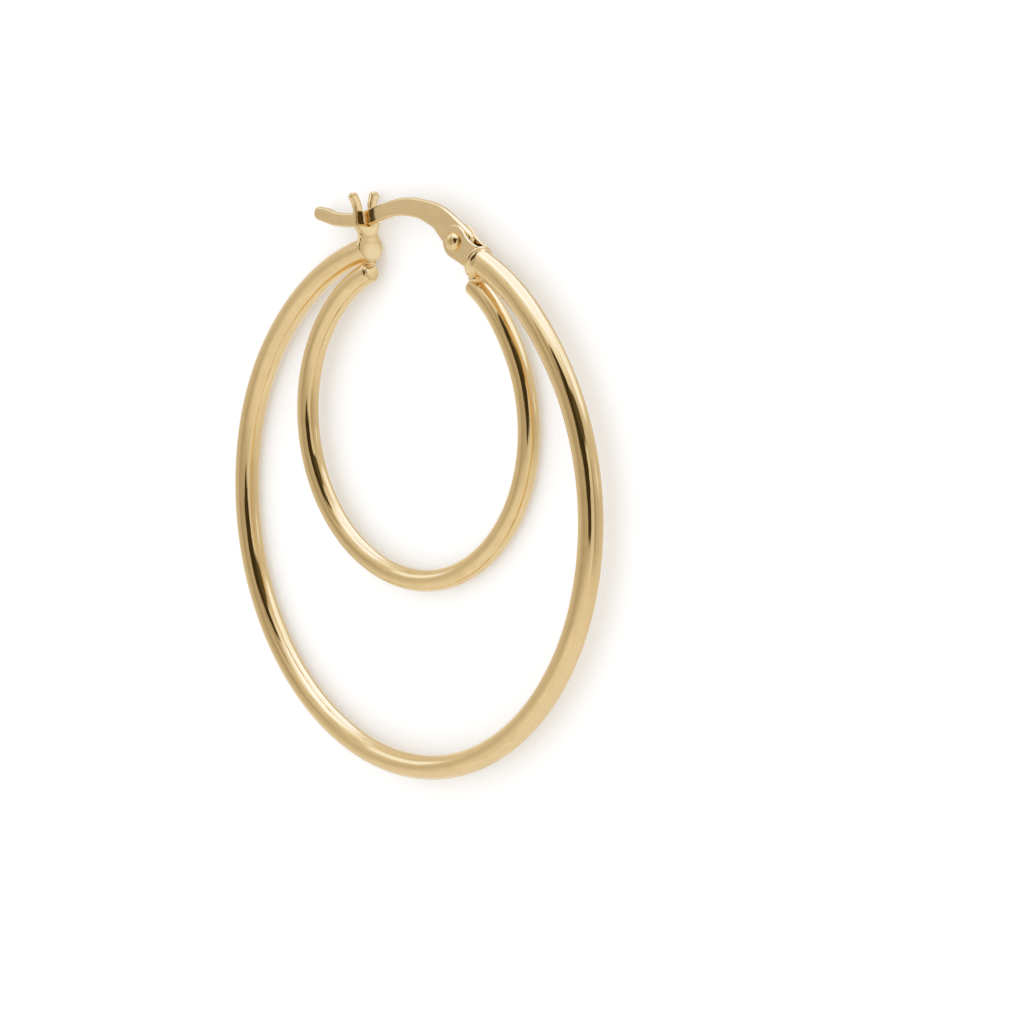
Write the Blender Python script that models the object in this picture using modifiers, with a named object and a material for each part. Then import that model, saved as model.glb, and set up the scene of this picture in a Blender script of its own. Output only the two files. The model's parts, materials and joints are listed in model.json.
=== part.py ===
"""Double hoop earring: two soldered round tubes with a hinged ear wire.

The piece is modelled in the hoop's own frame: the centre of the outer hoop is the origin, +X runs
from the catch to the hinge, +Y points at the clasp and +Z at the viewer. An empty then lays the
finished earring on its side, resting on three points of its underside, with its box on the origin.
"""
import math

import bmesh
import bpy
from mathutils import Matrix, Vector

MM = 0.001

# Outer hoop
OUTER_HOOP_WIDTH = 40.0 * MM
OUTER_TUBE_DIAMETER = 1.8 * MM
CATCH_ANGLE = math.radians(-14.3)
HINGE_ANGLE = math.radians(20.8)
CATCH_END_INSET = 0.15 * MM
INSET_FROM = math.radians(-75.0)
INSET_FULL = math.radians(-42.0)

# Inner hoop
INNER_HOOP_WIDTH = 24.8 * MM
INNER_TUBE_DIAMETER = 1.6 * MM
CATCH_END_SETBACK = 0.461 * MM
HINGE_END_REACH = 0.533 * MM
HINGE_END_BITE = 0.108 * MM
OUTSET_FULL = math.radians(3.2)
OUTSET_UNTIL = math.radians(29.2)
INNER_SET_BACK = 0.285 * MM
INNER_TWIST = math.radians(2.87)
INNER_TIP = math.radians(0.58)
INNER_END_ROUNDING = 0.3 * MM
SOLDER_BITE = 0.05 * MM

# Catch plate
CATCH_THICKNESS = 0.42 * MM
CATCH_LEAN = math.radians(3.5)
CATCH_LOBE_RADIUS = 1.02 * MM
CATCH_WAIST_HALF = 0.66 * MM
CATCH_WAIST_RISE = 0.9 * MM
CATCH_HEIGHT = 4.07 * MM
SLOT_DEPTH = 2.52 * MM
PRONG_WIDTH = 0.62 * MM
PRONG_FLARE = 0.42 * MM
NECK_WIDTH = 0.9 * MM
NECK_LENGTH = 0.4 * MM
PLATE_EDGE = 0.1 * MM
LOBE_ARC_END = math.radians(38.0)
PRONG_TIP_RADIUS = 0.28 * MM

# Hinge bracket
COLLAR_DIAMETER = 2.4 * MM
COLLAR_THICKNESS = 0.38 * MM
COLLAR_OFFSET = 0.12 * MM
COLLAR_ROUNDING = 0.15 * MM
EAR_THICKNESS = 0.3 * MM
EAR_EDGE = 0.08 * MM
EAR_RADIUS = 1.21 * MM
PIVOT_REACH = 2.18 * MM
PIVOT_RISE = 0.68 * MM
EAR_NECK_TOP = 1.24 * MM
EAR_TOP_FILLET = 2.2 * MM
EAR_ROOT_FILLET = 0.42 * MM
BEAD_LENGTH = 1.1 * MM
BEAD_WIDTH = 1.5 * MM
BEAD_HEIGHT = 0.9 * MM
BEAD_SHIFT = 0.3 * MM

# Ear wire
WIRE_THICKNESS = 0.56 * MM
WIRE_EDGE = 0.16 * MM
WIRE_BOSS_RADIUS = 1.22 * MM
HEEL_LENGTH = 1.4 * MM
HEEL_CORNER = 0.3 * MM
HEEL_SLOPE = math.radians(-35.5)
BOSS_ARC_START = math.radians(-170.0)
HEEL_LEAD = math.radians(30.0)
WIRE_SEAT_HALF = 0.56 * MM
TAIL_LENGTH = 5.8 * MM
TAIL_TIP_RADIUS = 0.5 * MM

# Rivet and running clearances
SHANK_DIAMETER = 0.8 * MM
HEAD_DIAMETER = 1.32 * MM
HEAD_HEIGHT = 0.32 * MM
SHANK_CLEARANCE = 0.05 * MM
SIDE_CLEARANCE = 0.04 * MM
SEAT_CLEARANCE = 0.04 * MM
HEAD_CLEARANCE = 0.03 * MM

# Colours and roughness
HOOP_GOLD = (0.86, 0.66, 0.36)
WIRE_GOLD = (0.84, 0.67, 0.40)
RIVET_GOLD = (0.88, 0.68, 0.38)
POLISHED = 0.12
SATIN = 0.25

# Facets
OUTER_STEPS = 96
INNER_STEPS = 64
TUBE_BEVEL_RESOLUTION = 5
SHEET_BEVEL_RESOLUTION = 1
ROUND_STEPS = 28
END_STEPS = 4
DOME_STEPS = 6
BEAD_SEGMENTS = 16
BEAD_RINGS = 10
STATIONS_PER_SPAN = 3
BOSS_STATIONS = 2
ARC_STEP = math.radians(15.0)
WELD = 0.001 * MM
SHARP_ANGLE = math.radians(35.0)
UNDERSIDE_LIMIT = -0.5

# Outer edge of a prong. Columns: half width as a share of the fork's shoulder, added share of the
# prong's flare, and height above the slot's bottom as a share of the slot's depth.
PRONG_OUTSIDE = [
    (1.14, 0.00, 0.00),
    (1.14, 0.00, 0.16),
    (1.03, 0.00, 0.40),
    (1.00, 0.20, 0.64),
    (1.00, 0.95, 0.86),
]

# Inner edge of a prong, from its tip down. Columns: share of the prong's flare, and height above
# the slot's bottom as a share of the slot's depth.
PRONG_INSIDE = [
    (0.28, 0.75),
    (0.00, 0.60),
]

# Ear wire centreline between the pivot and the catch. Columns: share of the way from the pivot
# to the catch, rise above that straight line as a share of its length, and half width as a share
# of the boss radius.
WIRE_STATIONS = [
    (0.156, 0.090, 0.84),
    (0.233, 0.127, 0.74),
    (0.323, 0.147, 0.68),
    (0.418, 0.158, 0.60),
    (0.516, 0.156, 0.57),
    (0.615, 0.143, 0.53),
    (0.708, 0.119, 0.49),
    (0.798, 0.083, 0.485),
    (0.906, 0.040, 0.48),
]

# Tail of the ear wire beyond the catch. Columns: share of the tail's length, rise above the
# catch as a share of that length, and half width as a share of the boss radius.
TAIL_STATIONS = [
    (0.19, -0.055, 0.44),
    (0.41, -0.093, 0.42),
    (0.62, -0.105, 0.43),
    (0.78, -0.092, 0.44),
]
TAIL_TIP_SHARE = -0.089


def clear_scene():
    for item in list(bpy.data.objects):
        bpy.data.objects.remove(item, do_unlink=True)


def gold_material(name, colour, roughness):
    material = bpy.data.materials.new(name)
    material.use_nodes = True
    shader = material.node_tree.nodes["Principled BSDF"]
    shader.inputs["Base Color"].default_value = (*colour, 1.0)
    shader.inputs["Metallic"].default_value = 1.0
    shader.inputs["Roughness"].default_value = roughness
    material.diffuse_color = (*colour, 1.0)
    return material


def polar(radius, angle, depth=0.0):
    """A point on a circle about the hoop's centre; angles count from the clasp towards +X."""
    return Vector((radius * math.sin(angle), radius * math.cos(angle), depth))


def arc(centre, radius, start, end, step=ARC_STEP):
    """Points along an arc in the outline's plane, both ends included."""
    count = max(2, math.ceil(abs(end - start) / step - 1e-6))
    points = []
    for index in range(count + 1):
        angle = start + (end - start) * index / count
        points.append(centre + Vector((math.cos(angle), math.sin(angle))) * radius)
    return points


def smooth_rows(rows, per_span):
    """Catmull-Rom through rows of numbers, with the end rows kept."""
    padded = [rows[0]] + list(rows) + [rows[-1]]
    result = []
    for index in range(1, len(padded) - 2):
        before, start, end, after = padded[index - 1:index + 3]
        for part in range(per_span):
            t = part / per_span
            row = []
            for a, b, c, d in zip(before, start, end, after):
                row.append(
                    b + 0.5 * t * (c - a + t * (2 * a - 5 * b + 4 * c - d + t * (3 * (b - c) + d - a)))
                )
            result.append(row)
    result.append(list(rows[-1]))
    return result


def link_object(name, mesh, matrix=None):
    item = bpy.data.objects.new(name, mesh)
    bpy.context.scene.collection.objects.link(item)
    if matrix is not None:
        item.matrix_world = matrix
    return item


def mesh_object(source):
    """Turn a curve or an object with modifiers into a plain welded mesh object in its place."""
    bpy.context.view_layer.update()
    evaluated = source.evaluated_get(bpy.context.evaluated_depsgraph_get())
    mesh = bpy.data.meshes.new_from_object(evaluated)
    work = bmesh.new()
    work.from_mesh(mesh)
    bmesh.ops.remove_doubles(work, verts=work.verts, dist=WELD)
    bmesh.ops.recalc_face_normals(work, faces=work.faces)
    work.to_mesh(mesh)
    work.free()
    name = source.name
    matrix = source.matrix_world.copy()
    bpy.data.objects.remove(source, do_unlink=True)
    return link_object(name, mesh, matrix)


def tube(name, points, diameter, shares=None):
    """A round wire along the points, as a welded mesh; shares scale its radius at each point."""
    curve = bpy.data.curves.new(name, "CURVE")
    curve.dimensions = "3D"
    curve.bevel_depth = diameter / 2
    curve.bevel_resolution = TUBE_BEVEL_RESOLUTION
    curve.use_fill_caps = True
    spline = curve.splines.new("POLY")
    spline.points.add(len(points) - 1)
    for index, point in enumerate(points):
        spline.points[index].co = (*point, 1.0)
        spline.points[index].radius = shares[index] if shares else 1.0
    return mesh_object(link_object(name, curve))


def flat_piece(name, outlines, thickness, edge, matrix):
    """A flat sheet piece with rounded edges; the first outline is its rim, the others are holes."""
    curve = bpy.data.curves.new(name, "CURVE")
    curve.dimensions = "2D"
    curve.fill_mode = "BOTH"
    curve.extrude = thickness / 2 - edge
    curve.bevel_depth = edge
    curve.bevel_resolution = SHEET_BEVEL_RESOLUTION
    curve.offset = -edge
    for outline in outlines:
        spline = curve.splines.new("POLY")
        spline.points.add(len(outline) - 1)
        for target, point in zip(spline.points, outline):
            target.co = (point[0], point[1], 0.0, 1.0)
        spline.use_cyclic_u = True
    return mesh_object(link_object(name, curve, matrix))


def turned_piece(name, profile, matrix):
    """A solid of revolution about local Z; the profile is (radius, height), from the top down."""
    mesh = bpy.data.meshes.new(name)
    points = [(radius, 0.0, height) for radius, height in profile]
    edges = [(index, index + 1) for index in range(len(points) - 1)]
    mesh.from_pydata(points, edges, [])
    item = link_object(name, mesh, matrix)
    screw = item.modifiers.new("Turn", "SCREW")
    screw.axis = "Z"
    screw.steps = ROUND_STEPS
    screw.render_steps = ROUND_STEPS
    screw.use_merge_vertices = True
    screw.merge_threshold = WELD
    return mesh_object(item)


def disc_profile(radius, thickness, rounding):
    """Half section of a disc with rounded edges, from the middle of its face to that of its base."""
    top = arc(Vector((radius - rounding, -rounding)), rounding, math.pi / 2, 0.0, ARC_STEP * 2)
    base_corner = Vector((radius - rounding, rounding - thickness))
    base = arc(base_corner, rounding, 0.0, -math.pi / 2, ARC_STEP * 2)
    rim = [(point.x, point.y) for point in top + base]
    return [(0.0, 0.0)] + rim + [(0.0, -thickness)]


def frame_matrix(origin, x_axis, y_axis):
    """Placement whose local X and Y lie along the given directions."""
    z_axis = x_axis.cross(y_axis).normalized()
    matrix = Matrix.Identity(4)
    for row in range(3):
        matrix[row][0] = x_axis[row]
        matrix[row][1] = y_axis[row]
        matrix[row][2] = z_axis[row]
        matrix[row][3] = origin[row]
    return matrix


def union(target, other):
    """Fuse the other object into the target with an exact boolean, and remove it."""
    modifier = target.modifiers.new("Join", "BOOLEAN")
    modifier.solver = "EXACT"
    modifier.operation = "UNION"
    modifier.object = other
    result = mesh_object(target)
    bpy.data.objects.remove(other, do_unlink=True)
    return result


OUTER_RADIUS = (OUTER_HOOP_WIDTH - OUTER_TUBE_DIAMETER) / 2
INNER_RADIUS = (INNER_HOOP_WIDTH - INNER_TUBE_DIAMETER) / 2


def eased(value, none, full):
    """Smooth step from 0 at one value to 1 at the other."""
    share = min(max((value - none) / (full - none), 0.0), 1.0)
    return share * share * (3 - 2 * share)


def outer_radius_at(angle):
    """The outer tube's centreline; its end at the catch is set slightly inwards."""
    return OUTER_RADIUS - CATCH_END_INSET * eased(angle, INSET_FROM, INSET_FULL)


def inner_hoop_fit():
    """The inner hoop touches the outer tube behind the catch and bites into the collar.

    Returns the height of its centre, its end angles at the catch and at the hinge about that
    centre, and how far its end is bent outwards at the hinge.
    """
    spacing = outer_radius_at(CATCH_ANGLE) - (OUTER_TUBE_DIAMETER + INNER_TUBE_DIAMETER) / 2 + SOLDER_BITE
    catch_side = CATCH_ANGLE - CATCH_END_SETBACK / spacing
    catch_end = math.asin(spacing * math.sin(catch_side) / INNER_RADIUS)
    centre_y = spacing * math.cos(catch_side) - INNER_RADIUS * math.cos(catch_end)
    hinge_side = HINGE_ANGLE - HINGE_END_REACH / spacing
    across = centre_y * math.sin(hinge_side)
    distance = centre_y * math.cos(hinge_side) + math.sqrt(INNER_RADIUS ** 2 - across ** 2)
    hinge_end = math.asin(distance * math.sin(hinge_side) / INNER_RADIUS)
    collar_edge = OUTER_RADIUS + COLLAR_OFFSET - COLLAR_DIAMETER / 2
    outset = collar_edge + HINGE_END_BITE - INNER_TUBE_DIAMETER / 2 - distance
    return centre_y, catch_end, hinge_end, outset


def inner_hoop_matrix():
    place = Matrix.Translation((0.0, inner_hoop_fit()[0], -INNER_SET_BACK))
    return place @ Matrix.Rotation(INNER_TWIST, 4, "Y") @ Matrix.Rotation(INNER_TIP, 4, "X")


def catch_frame():
    """Local X runs across the plate, Y up the prongs, Z out of its face towards the hinge."""
    face = polar(outer_radius_at(CATCH_ANGLE), CATCH_ANGLE)
    up = polar(1.0, CATCH_ANGLE + CATCH_LEAN)
    across = Vector((0.0, 0.0, -1.0))
    return frame_matrix(face, across, up)


def bracket_frame():
    """Local X runs from the collar's face along the tube towards the pivot, Y away from the centre."""
    out = polar(1.0, HINGE_ANGLE)
    along = Vector((-math.cos(HINGE_ANGLE), math.sin(HINGE_ANGLE), 0.0))
    return frame_matrix(polar(OUTER_RADIUS, HINGE_ANGLE), along, out)


def pivot_point():
    return bracket_frame() @ Vector((PIVOT_REACH, PIVOT_RISE, 0.0))


def seat_point():
    """Middle of the ear wire where it lies on the bottom of the slot."""
    slot_bottom = CATCH_HEIGHT - SLOT_DEPTH
    rise = slot_bottom + SEAT_CLEARANCE + WIRE_SEAT_HALF
    return catch_frame() @ Vector((0.0, rise, -CATCH_THICKNESS / 2))


def outer_tube():
    """The large hoop, from inside the catch plate the long way round to inside the collar."""
    first = CATCH_ANGLE - CATCH_THICKNESS / 2 / OUTER_RADIUS
    last = HINGE_ANGLE + COLLAR_THICKNESS / 2 / OUTER_RADIUS - 2 * math.pi
    points = []
    for index in range(OUTER_STEPS + 1):
        angle = first + (last - first) * index / OUTER_STEPS
        points.append(polar(outer_radius_at(angle), angle))
    return tube("outer_tube", points, OUTER_TUBE_DIAMETER)


def inner_tube():
    """The smaller hoop; its wire narrows round the edge of each end face."""
    place = inner_hoop_matrix()
    centre_y, catch_end, hinge_end, outset = inner_hoop_fit()
    radius = INNER_TUBE_DIAMETER / 2
    end_rows = []
    for index in range(END_STEPS):
        turn = math.pi / 2 * index / END_STEPS
        depth = INNER_END_ROUNDING * (1 - math.sin(turn)) / INNER_RADIUS
        end_rows.append((depth, 1 - INNER_END_ROUNDING / radius * (1 - math.cos(turn))))
    inset = INNER_END_ROUNDING / INNER_RADIUS
    last = 2 * math.pi + catch_end
    start = hinge_end + inset
    end = last - inset
    rows = [(hinge_end + depth, share) for depth, share in reversed(end_rows[1:])]
    for index in range(INNER_STEPS + 1):
        rows.append((start + (end - start) * index / INNER_STEPS, 1.0))
    rows += [(last - depth, share) for depth, share in end_rows[1:]]
    points = []
    for angle, share in rows:
        bend = outset * eased(angle, hinge_end + OUTSET_UNTIL, hinge_end + OUTSET_FULL)
        points.append(place @ polar(INNER_RADIUS + bend, angle))
    return tube("inner_tube", points, INNER_TUBE_DIAMETER, [share for angle, share in rows])


def catch_outline():
    """Half of the pear and fork, then its mirror image."""
    slot_half = WIRE_THICKNESS / 2 + SIDE_CLEARANCE
    slot_bottom = CATCH_HEIGHT - SLOT_DEPTH
    shoulder = slot_half + PRONG_WIDTH
    neck_angle = math.asin(NECK_WIDTH / 2 / CATCH_LOBE_RADIUS)
    half = [Vector((NECK_WIDTH / 2, -CATCH_LOBE_RADIUS - NECK_LENGTH))]
    half += arc(Vector((0.0, 0.0)), CATCH_LOBE_RADIUS, neck_angle - math.pi / 2, LOBE_ARC_END)
    lobe_end = half[-1]
    first_half = shoulder * PRONG_OUTSIDE[0][0]
    rows = [
        ((lobe_end.x * 0.6 + CATCH_WAIST_HALF * 0.4) * 0.93, (lobe_end.y + CATCH_WAIST_RISE) / 2),
        (CATCH_WAIST_HALF, CATCH_WAIST_RISE),
        (CATCH_WAIST_HALF * 0.6 + first_half * 0.4, (CATCH_WAIST_RISE + slot_bottom) / 2),
    ]
    for share, flare, height in PRONG_OUTSIDE:
        rows.append((shoulder * share + PRONG_FLARE * flare, slot_bottom + height * SLOT_DEPTH))
    half += [Vector(row) for row in smooth_rows(rows, STATIONS_PER_SPAN)]
    tip = Vector((shoulder + PRONG_FLARE - PRONG_TIP_RADIUS, CATCH_HEIGHT - PRONG_TIP_RADIUS))
    half += arc(tip, PRONG_TIP_RADIUS, math.radians(15.0), math.radians(160.0))
    for flare, height in PRONG_INSIDE:
        half.append(Vector((slot_half + PRONG_FLARE * flare, slot_bottom + height * SLOT_DEPTH)))
    half += arc(Vector((0.0, slot_bottom + slot_half)), slot_half, 0.0, -math.pi / 2)
    mirrored = [Vector((-point.x, point.y)) for point in reversed(half[:-1])]
    return half + mirrored


def catch_plate():
    place = catch_frame() @ Matrix.Translation((0.0, 0.0, -CATCH_THICKNESS / 2))
    return flat_piece("catch_plate", [catch_outline()], CATCH_THICKNESS, PLATE_EDGE, place)


def ear_outline():
    """Ear in the bracket's frame: a boss round the pivot and a neck that runs into the collar."""
    pivot = Vector((PIVOT_REACH, PIVOT_RISE))
    bite = -COLLAR_THICKNESS / 2
    low = PIVOT_RISE - EAR_RADIUS
    fillet_y = EAR_NECK_TOP + EAR_TOP_FILLET
    run = math.sqrt((EAR_RADIUS + EAR_TOP_FILLET) ** 2 - (fillet_y - PIVOT_RISE) ** 2)
    fillet = Vector((PIVOT_REACH - run, fillet_y))
    towards = fillet - pivot
    meet = math.atan2(towards.y, towards.x)
    points = [Vector((bite, low - EAR_ROOT_FILLET))]
    root = Vector((EAR_ROOT_FILLET, low - EAR_ROOT_FILLET))
    points += arc(root, EAR_ROOT_FILLET, math.pi, math.pi / 2)
    points += arc(pivot, EAR_RADIUS, -math.pi / 2, meet)
    points += arc(fillet, EAR_TOP_FILLET, meet - math.pi, -math.pi / 2, ARC_STEP / 2)[1:]
    points.append(Vector((bite, EAR_NECK_TOP)))
    return points


def circle(centre, radius):
    return arc(centre, radius, 0.0, 2 * math.pi, 2 * math.pi / ROUND_STEPS)[:-1]


def hinge_bracket():
    """Collar on the tube's end with the two drilled ears."""
    place = bracket_frame()
    collar_place = place @ Matrix.Translation((0.0, COLLAR_OFFSET, 0.0))
    collar_place = collar_place @ Matrix.Rotation(math.pi / 2, 4, "Y")
    profile = disc_profile(COLLAR_DIAMETER / 2, COLLAR_THICKNESS, COLLAR_ROUNDING)
    item = turned_piece("hinge_bracket", profile, collar_place)
    hole = circle(Vector((PIVOT_REACH, PIVOT_RISE)), SHANK_DIAMETER / 2 + SHANK_CLEARANCE)
    gap = WIRE_THICKNESS / 2 + SIDE_CLEARANCE
    for side in (-1.0, 1.0):
        shift = Matrix.Translation((0.0, 0.0, side * (gap + EAR_THICKNESS / 2)))
        ear = flat_piece("ear", [ear_outline(), hole], EAR_THICKNESS, EAR_EDGE, place @ shift)
        item = union(item, ear)
    return item


def solder_bead():
    """The bead between the collar and the inner tube's end, on the viewer's side."""
    centre = Vector((-COLLAR_THICKNESS / 2, COLLAR_OFFSET - COLLAR_DIAMETER / 2, BEAD_SHIFT))
    shape = Matrix.Diagonal((BEAD_LENGTH / 2, BEAD_HEIGHT / 2, BEAD_WIDTH / 2, 1.0))
    mesh = bpy.data.meshes.new("solder_bead")
    work = bmesh.new()
    bmesh.ops.create_uvsphere(
        work, u_segments=BEAD_SEGMENTS, v_segments=BEAD_RINGS, radius=1.0,
        matrix=bracket_frame() @ Matrix.Translation(centre) @ shape,
    )
    work.to_mesh(mesh)
    work.free()
    return link_object("solder_bead", mesh)


def hoop_frame(material):
    clasp_end = union(hinge_bracket(), solder_bead())
    item = outer_tube()
    for piece in (clasp_end, catch_plate(), inner_tube()):
        item = union(item, piece)
    return finish(item, "hoop_frame", material)


def ear_wire_outline():
    """Ear wire about the pivot: boss and heel, arched span to the catch, and the turned-up tail."""
    pivot = pivot_point()
    reach = seat_point() - pivot
    span = reach.length
    along = Vector((reach.x, reach.y)).normalized()
    rise = Vector((along.y, -along.x))
    heel = Vector((math.cos(HEEL_SLOPE), math.sin(HEEL_SLOPE)))
    heel_up = Vector((-heel.y, heel.x))
    rows = [(0.0, 0.0, WIRE_BOSS_RADIUS)]
    for share, height, half in WIRE_STATIONS:
        rows.append((share * span, height * span, half * WIRE_BOSS_RADIUS))
    rows.append((span, 0.0, WIRE_SEAT_HALF))
    for share, height, half in TAIL_STATIONS:
        rows.append((span + share * TAIL_LENGTH, height * TAIL_LENGTH, half * WIRE_BOSS_RADIUS))
    tail_end = span + TAIL_LENGTH - TAIL_TIP_RADIUS
    rows.append((tail_end, TAIL_TIP_SHARE * TAIL_LENGTH, TAIL_TIP_RADIUS))
    stations = smooth_rows(rows, STATIONS_PER_SPAN)
    centres = [along * row[0] + rise * row[1] for row in stations]
    upper = []
    lower = []
    for index, (centre, row) in enumerate(zip(centres, stations)):
        before = centres[max(index - 1, 0)]
        after = centres[min(index + 1, len(centres) - 1)]
        direction = (after - before).normalized()
        side = Vector((direction.y, -direction.x))
        upper.append(centre + side * row[2])
        lower.append(centre - side * row[2])
    tip_direction = (centres[-1] - centres[-2]).normalized()
    tip_angle = math.atan2(tip_direction.y, tip_direction.x)
    tip = arc(centres[-1], TAIL_TIP_RADIUS, tip_angle - math.pi / 2, tip_angle + math.pi / 2)
    corner = heel * (HEEL_LENGTH - HEEL_CORNER) + heel_up * (WIRE_BOSS_RADIUS - HEEL_CORNER)
    heel_angle = math.atan2(heel.y, heel.x)
    outline = [heel_up * WIRE_BOSS_RADIUS]
    outline += upper[BOSS_STATIONS:-1]
    outline += tip
    outline += list(reversed(lower[BOSS_STATIONS:-1]))
    outline += arc(Vector((0.0, 0.0)), WIRE_BOSS_RADIUS, BOSS_ARC_START, heel_angle - HEEL_LEAD)
    outline.append(heel * HEEL_LENGTH)
    outline += arc(corner, HEEL_CORNER, heel_angle, heel_angle + math.pi / 2, ARC_STEP * 2)
    return outline


def ear_wire(material):
    hole = circle(Vector((0.0, 0.0)), SHANK_DIAMETER / 2 + SHANK_CLEARANCE)
    place = Matrix.Translation(pivot_point())
    item = flat_piece("ear_wire", [ear_wire_outline(), hole], WIRE_THICKNESS, WIRE_EDGE, place)
    return finish(item, "ear_wire", material)


def hinge_rivet(material):
    """Shank with a dome on each end, clear of the ears."""
    half = WIRE_THICKNESS / 2 + SIDE_CLEARANCE + EAR_THICKNESS + HEAD_CLEARANCE
    head = HEAD_DIAMETER / 2
    dome_radius = (head ** 2 + HEAD_HEIGHT ** 2) / (2 * HEAD_HEIGHT)
    opening = math.asin(head / dome_radius)
    profile = []
    for index in range(DOME_STEPS + 1):
        angle = opening * index / DOME_STEPS
        drop = dome_radius * (1 - math.cos(angle))
        profile.append((dome_radius * math.sin(angle), half + HEAD_HEIGHT - drop))
    profile.append((SHANK_DIAMETER / 2, half))
    profile += [(radius, -height) for radius, height in reversed(profile)]
    item = turned_piece("hinge_rivet", profile, Matrix.Translation(pivot_point()))
    return finish(item, "hinge_rivet", material)


def finish(item, name, material):
    item.name = name
    item.data.name = name
    item.data.materials.clear()
    item.data.materials.append(material)
    item.data.shade_smooth()
    item.data.set_sharp_from_angle(angle=SHARP_ANGLE)
    return item


def world_points(items):
    points = []
    for item in items:
        points += [item.matrix_world @ vertex.co for vertex in item.data.vertices]
    return points


def volume_centre(items):
    """Centre of the solids' volume, summed over their triangles."""
    total = 0.0
    moment = Vector()
    for item in items:
        item.data.calc_loop_triangles()
        for triangle in item.data.loop_triangles:
            a, b, c = [item.matrix_world @ item.data.vertices[index].co for index in triangle.vertices]
            volume = a.dot(b.cross(c)) / 6
            total += volume
            moment += (a + b + c) / 4 * volume
    return moment / total


def resting_rotation(items):
    """Rotation that brings the hull's underside below the centre of volume flat on the floor."""
    centre = volume_centre(items)
    hull = bmesh.new()
    for point in world_points(items):
        hull.verts.new(point)
    bmesh.ops.convex_hull(hull, input=hull.verts)
    hull.normal_update()
    best = None
    for face in hull.faces:
        if face.normal.z < UNDERSIDE_LIMIT:
            height = face.normal.dot(centre - face.verts[0].co)
            foot = centre - face.normal * height
            inside = True
            for loop in face.loops:
                edge = loop.link_loop_next.vert.co - loop.vert.co
                if edge.cross(foot - loop.vert.co).dot(face.normal) < 0:
                    inside = False
            if inside and (best is None or abs(height) < best[0]):
                best = (abs(height), face.normal.copy())
    hull.free()
    return best[1].rotation_difference(Vector((0.0, 0.0, -1.0)))


def lay_down(items):
    """Parent everything to an empty that rests the earring on the floor."""
    rest = bpy.data.objects.new("rest_pose", None)
    bpy.context.scene.collection.objects.link(rest)
    bpy.context.view_layer.update()
    rotation = resting_rotation(items)
    turned = [rotation @ point for point in world_points(items)]
    low = Vector([min(point[axis] for point in turned) for axis in range(3)])
    high = Vector([max(point[axis] for point in turned) for axis in range(3)])
    rest.rotation_mode = "QUATERNION"
    rest.rotation_quaternion = rotation
    rest.location = (-(low.x + high.x) / 2, -(low.y + high.y) / 2, -low.z)
    for item in items:
        item.parent = rest
    bpy.context.view_layer.update()


def main():
    clear_scene()
    collection = bpy.data.collections.new("double_hoop_earring")
    bpy.context.scene.collection.children.link(collection)
    hoop_gold = gold_material("hoop_gold", HOOP_GOLD, POLISHED)
    wire_gold = gold_material("ear_wire_gold", WIRE_GOLD, SATIN)
    rivet_gold = gold_material("rivet_gold", RIVET_GOLD, POLISHED)
    items = [hoop_frame(hoop_gold), ear_wire(wire_gold), hinge_rivet(rivet_gold)]
    for item in items:
        bpy.context.scene.collection.objects.unlink(item)
        collection.objects.link(item)
    lay_down(items)


main()
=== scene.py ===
"""Looks of the double hoop earring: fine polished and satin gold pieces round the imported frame.

Shapes are made in the hoop's own frame: the outer hoop's centre is the origin, +X runs from the
catch to the hinge, +Y points at the clasp and +Z at the viewer. REST lays that frame on the floor.
"""
import json
import math

import bmesh
import bpy
from mathutils import Matrix, Vector, noise


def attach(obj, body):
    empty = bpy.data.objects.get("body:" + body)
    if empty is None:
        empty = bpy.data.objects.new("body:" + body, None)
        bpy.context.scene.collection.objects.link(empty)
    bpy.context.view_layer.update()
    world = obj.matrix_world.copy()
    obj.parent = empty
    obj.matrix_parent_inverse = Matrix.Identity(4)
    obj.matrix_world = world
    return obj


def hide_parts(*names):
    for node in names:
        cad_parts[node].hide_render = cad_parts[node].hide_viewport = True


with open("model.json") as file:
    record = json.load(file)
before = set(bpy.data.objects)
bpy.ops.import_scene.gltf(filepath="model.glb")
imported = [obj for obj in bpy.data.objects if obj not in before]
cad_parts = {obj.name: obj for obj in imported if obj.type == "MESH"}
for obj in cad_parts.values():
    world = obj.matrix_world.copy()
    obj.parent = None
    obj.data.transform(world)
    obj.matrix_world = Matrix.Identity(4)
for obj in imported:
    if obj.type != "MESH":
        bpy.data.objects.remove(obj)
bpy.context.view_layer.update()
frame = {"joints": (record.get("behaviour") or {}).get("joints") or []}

MM = 0.001

# Sizes and angles of the pieces. Angles round a hoop count from the clasp towards the hinge
OUTER_HOOP_WIDTH = 40.0 * MM
OUTER_TUBE_DIAMETER = 1.8 * MM
CATCH_ANGLE = math.radians(-14.3)
HINGE_ANGLE = math.radians(20.8)
CATCH_END_INSET = 0.15 * MM
INSET_FROM = math.radians(-75.0)
INSET_FULL = math.radians(-42.0)
INNER_HOOP_WIDTH = 24.8 * MM
INNER_TUBE_DIAMETER = 1.6 * MM
CATCH_END_SETBACK = 0.461 * MM
HINGE_END_REACH = 0.30 * MM
HINGE_END_BITE = 0.108 * MM
OUTSET_FULL = math.radians(3.2)
OUTSET_UNTIL = math.radians(29.2)
HINGE_END_OUTSET = 0.26 * MM
HINGE_OUTSET_FULL = math.radians(26.0)
HINGE_OUTSET_NONE = math.radians(56.0)
INNER_SET_BACK = 0.285 * MM
INNER_TWIST = math.radians(2.87)
INNER_TIP = math.radians(0.58)
INNER_END_ROUNDING = 0.25 * MM
CAP_RADIUS = 0.63 * MM
CAP_THICKNESS = 0.3 * MM
CAP_RISE = 0.05 * MM
CAP_ROUNDING = 0.09 * MM
CAP_TILT = math.radians(5.0)
SOLDER_BITE = 0.05 * MM
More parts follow.
